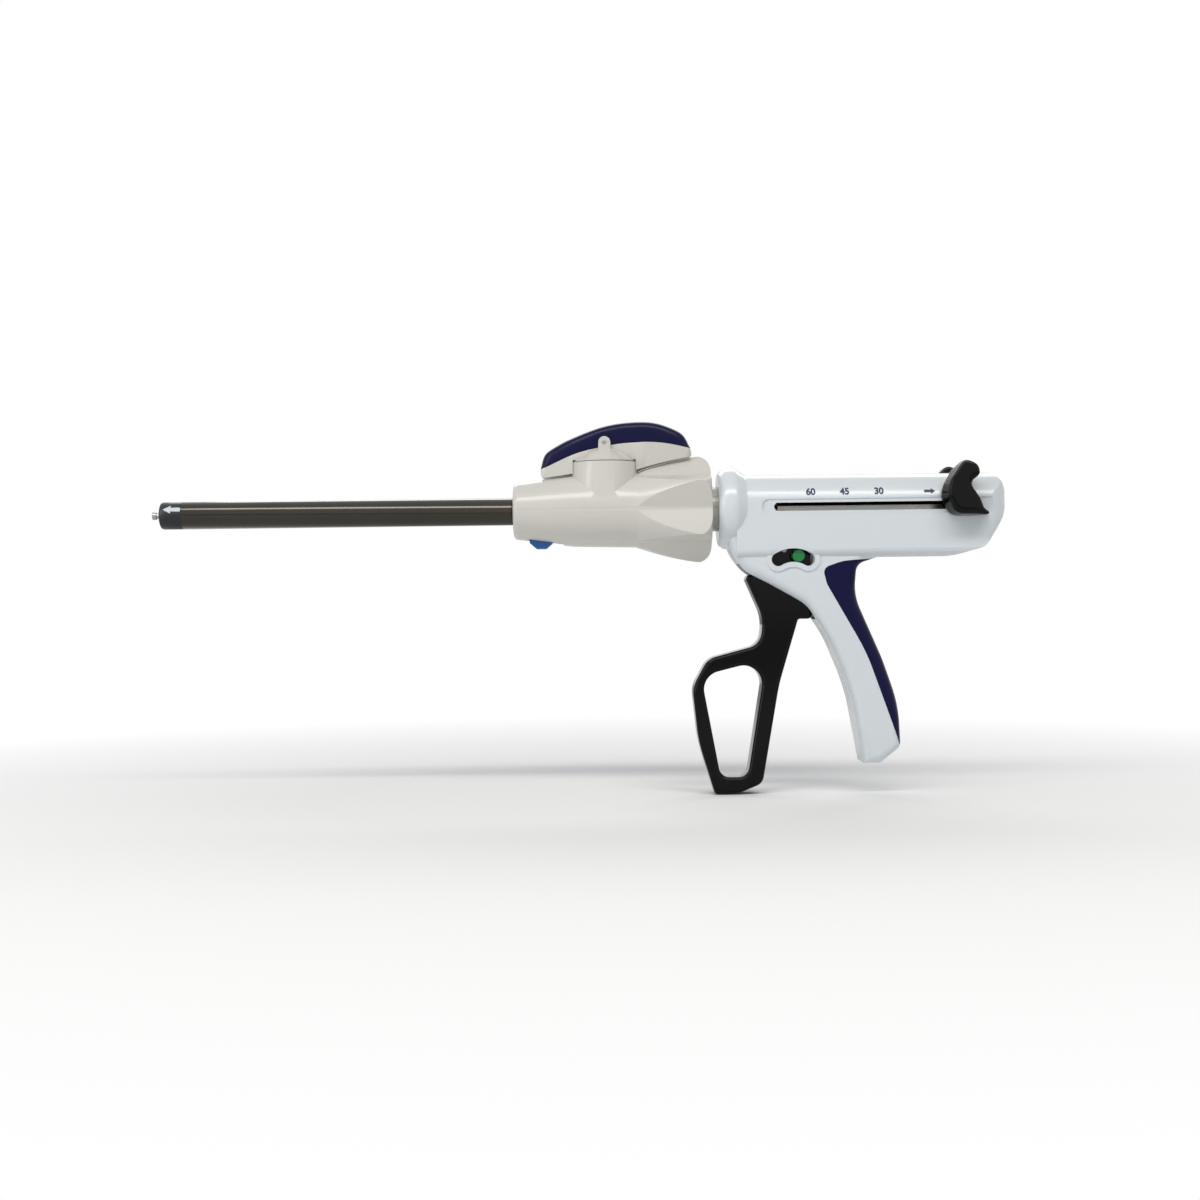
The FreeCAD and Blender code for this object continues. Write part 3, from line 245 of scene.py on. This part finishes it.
# %% Coated shaft steel
CERAMIC_COAT = {"Coat Weight": 0.5, "Coat Roughness": 0.06, "Coat IOR": 1.6}
SMEAR_PITCH = 26
SMEAR_ROUND = 30
COATING_POLISH = {"To Min": 0.16, "To Max": 0.2}
GRINDING_PITCH = 0.25
GRINDING_WANDER = 1.5
GRINDING_DEPTH = 0.005 * MM
GRINDING_STRENGTH = 0.004

coated_steel, tree, shader, place = new_material("dark_coated_steel",
                                                 {"Metallic": 1, **CERAMIC_COAT})
smear = add(tree, "ShaderNodeMapping",
            {"Scale": (per_metre(SMEAR_PITCH), SMEAR_ROUND, SMEAR_ROUND)}, {"Vector": place})
cloud = add(tree, "ShaderNodeTexNoise", {"Scale": 1, "Detail": 2}, {"Vector": smear.outputs[0]})
bronze = add(tree, "ShaderNodeMix",
             {"data_type": "RGBA", 6: linear("#2B2723"), 7: linear("#39342D")},
             {0: cloud.outputs[0]})
tree.links.new(bronze.outputs[2], shader.inputs["Base Color"])
gloss = add(tree, "ShaderNodeMapRange", COATING_POLISH, {"Value": cloud.outputs[0]})
tree.links.new(gloss.outputs[0], shader.inputs["Roughness"])
rings = add(tree, "ShaderNodeTexWave",
            {"Scale": per_metre(GRINDING_PITCH) / (2 * math.pi), "Distortion": GRINDING_WANDER,
             "Detail": 2}, {"Vector": place})
ground = add(tree, "ShaderNodeBump",
             {"Strength": GRINDING_STRENGTH, "Distance": GRINDING_DEPTH},
             {"Height": rings.outputs[0]})
tree.links.new(ground.outputs[0], shader.inputs["Normal"])
print("coated steel rings every", GRINDING_PITCH, "mm")

# %% [markdown]
# Rod, plate, cam and pins are plain stainless: the round ones turned, the flat ones blanked
# and tumbled. What the eye gets is a grey, slightly warm reflection, broken by short
# scratches. Long thin noise in one direction is enough, since every one of these pieces is
# small or half hidden. Springs are drawn wire and brighter.

# %% Bare stainless steel
STEEL_GREY = "#A9A8A4"
STEEL_POLISH = 0.26
SCRATCH_PITCH = 0.3
SCRATCH_STRETCH = 0.08
SCRATCH_DEPTH = 0.02 * MM
SCRATCH_STRENGTH = 0.1
BRIGHTEST, DULLEST = 0.7, 1.5


def stainless(name, hex_colour, polish):
    """Scratched bare steel; polish is its roughness between the scratches."""
    material, tree, shader, place = new_material(
        name, {"Metallic": 1, "Base Color": linear(hex_colour)})
    across = add(tree, "ShaderNodeMapping", {"Scale": (SCRATCH_STRETCH, 1, 1)},
                 {"Vector": place})
    scratches = add(tree, "ShaderNodeTexNoise",
                    {"Scale": per_metre(SCRATCH_PITCH), "Detail": 5},
                    {"Vector": across.outputs[0]})
    gloss = add(tree, "ShaderNodeMapRange",
                {"To Min": polish * BRIGHTEST, "To Max": polish * DULLEST},
                {"Value": scratches.outputs[0]})
    tree.links.new(gloss.outputs[0], shader.inputs["Roughness"])
    relief = add(tree, "ShaderNodeBump",
                 {"Strength": SCRATCH_STRENGTH, "Distance": SCRATCH_DEPTH},
                 {"Height": scratches.outputs[0]})
    tree.links.new(relief.outputs[0], shader.inputs["Normal"])
    return material


turned_steel = stainless("turned_stainless_steel", STEEL_GREY, STEEL_POLISH)
spring_wire = stainless("drawn_spring_wire", "#C4C3C0", 0.2)
print("steels:", turned_steel.name, spring_wire.name)

# %% [markdown]
# The rack is plain stainless steel with shade painted into the long groove in each flank. The
# groove is coloured near black to stand for the shadow that fills the upper half of the slot, and
# the flanks keep the bare steel grey. The groove's floor lies nearer the middle than the flanks
# do, so the distance from the middle plane tells the painted shade from the bare steel.

# %% Rack steel with shade painted in the groove
FLANK_DEPTH = 3.1 * MM
PAINTED_SHADE_EDGE = 0.2 * MM
# Painted shade: the near-black colour in the groove stands for the slot's shadow.
GROOVE_PAINTED_SHADE = "#08080A"

rack_steel_with_painted_shade = stainless("rack_steel_with_shade_painted_in_the_groove", STEEL_GREY, STEEL_POLISH)
tree = rack_steel_with_painted_shade.node_tree
across = add(tree, "ShaderNodeSeparateXYZ",
             links={0: first(tree, "TEX_COORD").outputs["Object"]})
from_middle = add(tree, "ShaderNodeMath", {"operation": "ABSOLUTE"}, {0: across.outputs["Y"]})
outside_painted_shade = add(tree, "ShaderNodeMapRange",
             {"From Min": FLANK_DEPTH - PAINTED_SHADE_EDGE, "From Max": FLANK_DEPTH},
             {"Value": from_middle.outputs[0]})
# This mix paints shade in the groove and leaves bare steel grey on the flanks.
painted_shade = add(tree, "ShaderNodeMix",
             {"data_type": "RGBA", 6: linear(GROOVE_PAINTED_SHADE), 7: linear(STEEL_GREY)},
             {0: outside_painted_shade.outputs[0]})
tree.links.new(painted_shade.outputs[2], first(tree, "BSDF_PRINCIPLED").inputs["Base Color"])
print("flanks bright beyond", round(FLANK_DEPTH / MM, 1), "mm from the middle")

# %% [markdown]
# The two gas seals on the rod are silicone rubber: matt and a little translucent, so they
# share the acetal's recipe with more scattering and less polish. The marks are ink put on
# with a rubber pad, a film of a few hundredths of a millimetre, flat in colour and duller
# than the gloss plastic under it.

# %% Silicone rubber and printing ink
seal_silicone = moulded_acetal("seal_silicone", "#3A3B40", 0.6, scatter=0.3)
blue_ink = moulded_abs("navy_pad_print", "#060A4E", 0.5, drift=0.1, shrink=0)
white_ink = moulded_abs("white_pad_print", "#C9CFD6", 0.4, drift=0.02, shrink=0)
print("inks:", blue_ink.name, white_ink.name)

# %% [markdown]
# Each CAD node gets the finish of the record's slot it names, by the table below, and the rack
# gets its own steel with shade painted in its groove. A real moulding or turned piece has no
# knife edges, and the thin highlight on a rounded edge is what makes plastic look moulded. A weld
# joins the loose facets, a planar decimation clears the flat faces of their triangles, and a
# bevel of a few tenths of a millimetre rounds the edges. All three are modifiers, so the CAD mesh
# stays untouched.

# %% Finishes and soft edges on the CAD nodes
FINISHES = {                                   # slot: material, bevel in millimetres
    "shell_white": (white_abs, 0.25), "collar_beige": (warm_grey_abs, 0.25),
    "navy": (navy_abs, 0.25), "black": (black_abs, 0.3), "tube_dark": (coated_steel, 0.1),
    "ring_dark": (black_acetal, 0.12), "steel": (turned_steel, 0.1),
    "button_blue": (blue_acetal, 0.2), "button_green": (green_acetal, 0.3),
    "core_plastic": (grey_acetal, 0), "seal_rubber": (seal_silicone, 0),
    "spring_steel": (spring_wire, 0),
}
# The rack's material has shade painted in its groove.
SPECIAL_FINISHES = {"actuation_rack": rack_steel_with_painted_shade}
WELD_GAP = 0.002 * MM
FLAT_ANGLE = math.radians(0.5)
EDGE_ANGLE = math.radians(32)
BEVEL_STEPS = 3


def soften(piece, width):
    """Join the facets, round the edges sharper than the edge angle, and shade them smooth."""
    weld = piece.modifiers.new("weld", "WELD")
    weld.merge_threshold = WELD_GAP
    if width:
        flat = piece.modifiers.new("flat_faces", "DECIMATE")
        flat.decimate_type = "DISSOLVE"
        flat.angle_limit = FLAT_ANGLE
        bevel = piece.modifiers.new("soft_edges", "BEVEL")
        bevel.width = width
        bevel.segments = BEVEL_STEPS
        bevel.limit_method = "ANGLE"
        bevel.angle_limit = EDGE_ANGLE
        bevel.use_clamp_overlap = True
        bevel.harden_normals = True


for part in frame["record"]["subparts"]:
    piece = nodes[part["node"]]
    material, edge_mm = FINISHES[part["material_slot"]]
    material = SPECIAL_FINISHES.get(part["node"], material)
    piece.data.materials.clear()
    piece.data.materials.append(material)
    soften(piece, edge_mm * MM)

# %% [markdown]
# The two return knobs are pulled hard with two fingers, so nothing on them is flat or sharp.
# A bevel can't give that, because the little foot at the lower end is thinner than the
# rounding. Instead the solid is rebuilt from voxels and then smoothed, as if it were sanded:
# wide places stay where they are, and every edge rolls over by more than a millimetre. Each
# pass of the smoothing moves a point half of the way to the middle of its neighbours.

# %% Sanded return knobs
KNOB_VOXEL = 0.32 * MM
KNOB_PASSES = 130
PASS_SHARE = 0.5


def rebuild(piece, voxel):
    """Take a piece's modifiers off and rebuild its solid from voxels."""
    piece.modifiers.clear()
    voxels = piece.modifiers.new("voxels", "REMESH")
    voxels.mode = "VOXEL"
    voxels.voxel_size = voxel
    voxels.use_smooth_shade = True


def sand(piece, passes, weights=""):
    """Smooth a piece, everywhere or as far as its weights let it."""
    sanding = piece.modifiers.new("sanding", "SMOOTH")
    sanding.vertex_group = weights
    sanding.factor = PASS_SHARE
    sanding.iterations = passes


for name in ("left_return_knob", "right_return_knob"):
    rebuild(nodes[name], KNOB_VOXEL)
    sand(nodes[name], KNOB_PASSES)
print("knobs rebuilt at", KNOB_VOXEL / MM, "mm and sanded", KNOB_PASSES, "times")

# %% [markdown]
# The lever's navy cap is moulded over the pale foot. Its rim is rounded for the thumb, but the
# line where it meets the foot stays crisp. So the cap is rebuilt from voxels and sanded too,
# and a weight holds back every point that touches the foot: none of the sanding within half
# a millimetre of the foot, all of it from two millimetres away. The voxels have no weights
# when they are made, so one modifier sets them all to one and the next takes off what is
# near. The rim is as broad as a thumb, and needs many more passes than the knobs.

# %% Sanded lever cap
CAP_VOXEL = 0.3 * MM
CAP_PASSES = 800
HELD_WITHIN = 0.5 * MM
FREE_BEYOND = 2.0 * MM
WEIGHTS = "free"

cap = nodes["lever_cap"]
cap.vertex_groups.new(name=WEIGHTS)
rebuild(cap, CAP_VOXEL)
everything = cap.modifiers.new("everything_is_free", "VERTEX_WEIGHT_EDIT")
everything.vertex_group = WEIGHTS
everything.default_weight = 1
everything.use_add = True
everything.add_threshold = 0
held = cap.modifiers.new("held_at_the_foot", "VERTEX_WEIGHT_PROXIMITY")
held.vertex_group = WEIGHTS
held.target = nodes["lever_body"]
held.proximity_mode = "GEOMETRY"
held.proximity_geometry = {"FACE"}
held.min_dist = HELD_WITHIN
held.max_dist = FREE_BEYOND
sand(cap, CAP_PASSES, WEIGHTS)
print("cap rebuilt at", CAP_VOXEL / MM, "mm and sanded", CAP_PASSES, "times")

# %% [markdown]
# The blue button is held out by a small compression spring. When the button goes in, the spring's
# front end goes with it and its rear end stays on the collar's wall, so the coils come closer.
# The CAD spring has one length, so a copy takes its place and rides with the collar; the copy
# keeps that one length.

coils = bpy.data.objects.new("unload_spring_coils", nodes["unload_spring"].data.copy())
scene.collection.objects.link(coils)
soften(coils, 0)
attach(coils, "collar")
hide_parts("unload_spring")
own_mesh(coils)

# %% [markdown]
# The stroke marks are plain numbers, the millimetres of staple line fired so far. They are
# printed on the round flank of the barrel, above the slot on both sides. Flat lettering
# would hang off that flank, so each mark is made as a flat outline and cut into small faces,
# and every point is then moved onto a circle just outside the barrel's, where a thin film
# gives the ink its thickness. The font's strokes are thin, and a small offset makes them as
# bold as the print.

# %% Flat shapes and how they are laid on a round
INK_FILM = 0.04 * MM
FONT_CAP_SHARE = 0.72
BOLDER = 0.052
PRINT_CUTS = 3


def flat_text(words, height):
    """The faces of a short text, centred on the origin, as a bmesh in X and Y."""
    curve = bpy.data.curves.new(words, "FONT")
    curve.body = words
    curve.size = height / FONT_CAP_SHARE
    curve.offset = height * BOLDER
    curve.align_x = "CENTER"
    curve.align_y = "CENTER"
    holder = bpy.data.objects.new(words, curve)
    mesh = bpy.data.meshes.new_from_object(holder)
    shape = bmesh.new()
    shape.from_mesh(mesh)
    bpy.data.objects.remove(holder)
    bpy.data.curves.remove(curve)
    bpy.data.meshes.remove(mesh)
    return shape


def flat_arrow(length, width, head, shank, turn):
    """An arrow along X, centred on the origin and turned in its plane, as a bmesh."""
    half = length / 2
    corners = [(-half, -shank / 2), (half - head, -shank / 2), (half - head, -width / 2),
               (half, 0), (half - head, width / 2), (half - head, shank / 2), (-half, shank / 2)]
    shape = bmesh.new()
    shape.faces.new([shape.verts.new((x, y, 0)) for x, y in corners])
    bmesh.ops.rotate(shape, verts=shape.verts, matrix=Matrix.Rotation(turn, 3, "Z"))
    return shape


def print_on_round(name, shape, x, z, radius, side, body, ink):
    """Lay a flat shape on a round flank about the X axis; side -1 is the left of the object."""
    bmesh.ops.triangulate(shape, faces=shape.faces[:])
    bmesh.ops.subdivide_edges(shape, edges=shape.edges[:], cuts=PRINT_CUTS, use_grid_fill=True)
    for vertex in shape.verts:
        across = -side * vertex.co.x
        up = z + vertex.co.y
        vertex.co = Vector((x + across, side * math.sqrt(radius ** 2 - up ** 2), up))
    bmesh.ops.recalc_face_normals(shape, faces=shape.faces[:])
    mesh = bpy.data.meshes.new(name)
    shape.to_mesh(mesh)
    shape.free()
    piece = bpy.data.objects.new(name, mesh)
    scene.collection.objects.link(piece)
    film = piece.modifiers.new("film", "SOLIDIFY")
    film.thickness = INK_FILM
    mesh.materials.append(ink)
    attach(piece, body)


print("ink film of", INK_FILM / MM, "mm")

# %% [markdown]
# The places of the marks along the barrel follow the photograph: the three numbers stand about
# 15 mm apart, as the strokes that they count. The arrow behind them shows which way the knobs
# are drawn back. On the right side a mark is laid out the other way round, so that it reads
# from there, and the arrow is turned about to point to the rear again.

# %% Stroke marks on the barrel
DIGIT_HEIGHT = 2.9 * MM
MARK_HEIGHT = 6.3 * MM
NUMBERS = {"60": 129.4 * MM, "45": 144.1 * MM, "30": 158.9 * MM}
ARROW_PLACE = 180.9 * MM
ARROW_DROP = 0.2 * MM
OPEN_ARROW = {"length": 4.9 * MM, "width": 2.5 * MM, "head": 2.0 * MM, "shank": 1.25 * MM}
BARREL_RADIUS = 14.6 * MM

for side, flank, turn in ((-1, "left", 0), (1, "right", math.pi)):
    for number, x in NUMBERS.items():
        print_on_round("mark_%s_%s" % (number, flank), flat_text(number, DIGIT_HEIGHT), x,
                       MARK_HEIGHT, BARREL_RADIUS + INK_FILM, side, "housing", blue_ink)
    print_on_round("open_arrow_" + flank, flat_arrow(**OPEN_ARROW, turn=turn), ARROW_PLACE,
                   MARK_HEIGHT - ARROW_DROP, BARREL_RADIUS + INK_FILM, side, "housing",
                   blue_ink)
print("marks at", [round(x / MM, 1) for x in NUMBERS.values()], "mm")

# %% [markdown]
# One white arrow on the load ring shows which way the cartridge goes on. It is printed on a
# cylinder of 6 mm radius, just above the middle, so the same function lays it there.

# %% Arrow on the load ring
LOAD_ARROW = {"length": 7.6 * MM, "width": 3.6 * MM, "head": 3.4 * MM, "shank": 1.7 * MM}
BEHIND_THE_TIP = 5.8 * MM
ABOVE_THE_MIDDLE = 2.5 * MM

ring_low, ring_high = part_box("load_ring")
ring_radius = (ring_high.z - ring_low.z) / 2
print_on_round("load_arrow", flat_arrow(**LOAD_ARROW, turn=math.pi),
               ring_low.x + BEHIND_THE_TIP, ABOVE_THE_MIDDLE, ring_radius + INK_FILM, -1,
               "collar", white_ink)
print("load arrow behind x", round(ring_low.x / MM, 1), "mm")

# %% [markdown]
# The floor is plain and pale, just under the lowest point, and wide enough to reach the
# horizon. It keeps the handle's soft shadow. Farther out it fades to plain white, but only
# for the camera, so no more light comes from there.

# %% Floor
FLOOR_HALF = 6
FLOOR_GAP = 0.2 * MM
FADE = {"From Min": 0.12, "From Max": 0.5}

floor_mesh = bpy.data.meshes.new("floor")
floor_mesh.from_pydata([(-FLOOR_HALF, -FLOOR_HALF, 0), (FLOOR_HALF, -FLOOR_HALF, 0),
                        (FLOOR_HALF, FLOOR_HALF, 0), (-FLOOR_HALF, FLOOR_HALF, 0)],
                       [], [(0, 1, 2, 3)])
floor = bpy.data.objects.new("floor", floor_mesh)
floor.location = (AIM.x, 0, lowest.z - FLOOR_GAP)
scene.collection.objects.link(floor)

floor_paint, tree, shader, place = new_material(
    "pale_matt_floor", {"Base Color": linear("#F4F4F4"), "Roughness": 0.9, "IOR": 1.3})
distance = add(tree, "ShaderNodeVectorMath", {"operation": "LENGTH"}, {0: place})
far = add(tree, "ShaderNodeMapRange", FADE, {"Value": distance.outputs["Value"]})
rays = add(tree, "ShaderNodeLightPath")
seen_far = add(tree, "ShaderNodeMath", {"operation": "MULTIPLY"},
               {0: far.outputs[0], 1: rays.outputs["Is Camera Ray"]})
white = add(tree, "ShaderNodeEmission", {"Strength": 1})
blend = add(tree, "ShaderNodeMixShader", links={0: seen_far.outputs[0], 1: shader.outputs[0],
                                                2: white.outputs[0]})
tree.links.new(blend.outputs[0], first(tree, "OUTPUT_MATERIAL").inputs["Surface"])
floor_mesh.materials.append(floor_paint)
print("floor at z", round(floor.location.z / MM, 1), "mm")

# %% [markdown]
# The world does two jobs. What the camera sees of it is white paper, and glossy and
# transmission rays see the same paper, so the tube and the black mouldings have something
# pale to reflect. For all other rays it is a dim room, a little bluish, that fills the
# shadows.

# %% World
ROOM_COLOUR = "#F3F6FA"
ROOM_STRENGTH = 0.28

world = bpy.data.worlds.new("studio")
world.use_nodes = True
scene.world = world
tree = world.node_tree
tree.nodes.clear()
rays = add(tree, "ShaderNodeLightPath")
seen = add(tree, "ShaderNodeMath", {"operation": "MAXIMUM"},
           {0: rays.outputs["Is Camera Ray"], 1: rays.outputs["Is Transmission Ray"]})
seen_or_mirrored = add(tree, "ShaderNodeMath", {"operation": "MAXIMUM"},
                       {0: seen.outputs[0], 1: rays.outputs["Is Glossy Ray"]})
room = add(tree, "ShaderNodeBackground",
           {"Color": linear(ROOM_COLOUR), "Strength": ROOM_STRENGTH})
paper = add(tree, "ShaderNodeBackground", {"Color": (1, 1, 1, 1), "Strength": 1})
sky = add(tree, "ShaderNodeMixShader", links={0: seen_or_mirrored.outputs[0],
                                              1: room.outputs[0], 2: paper.outputs[0]})
add(tree, "ShaderNodeOutputWorld", links={"Surface": sky.outputs[0]})
print("room light", ROOM_STRENGTH)

# %% [markdown]
# Soft studio light: one long box above and in front, which draws a single bright line along
# the tube and the collar's crease, a weaker one from the left for the trigger's edge, and one
# behind for the top. Nothing shines from beside the camera, because the black and navy pieces
# would mirror it. Their power is set so that a mid grey renders as it is written.

# %% Lamps
SOFTBOXES = {                     # name: place, aim, width and height, in metres; watts; tint
    "key": ((0.05, -0.75, 0.85), (0.03, 0, 0), (1.6, 0.22), 9, "#FFFDF7"),
    "side": ((-0.9, -0.6, 0.3), (0.1, 0, -0.04), (0.3, 0.8), 2.5, "#FFFFFF"),
    "back": ((0.1, 0.9, 0.7), (0.05, 0, 0), (1.2, 0.4), 4, "#FFFFFF"),
}

for name, (place, aim, size, power, tint) in SOFTBOXES.items():
    lamp = bpy.data.lights.new(name, "AREA")
    lamp.shape = "RECTANGLE"
    lamp.size, lamp.size_y = size
    lamp.energy = power
    lamp.color = linear(tint)[:3]
    holder = bpy.data.objects.new(name, lamp)
    holder.location = place
    holder.rotation_euler = (Vector(aim) - Vector(place)).to_track_quat("-Z", "Y").to_euler()
    scene.collection.objects.link(holder)

scene.view_settings.view_transform = "Standard"
print("lamps:", ", ".join(SOFTBOXES))
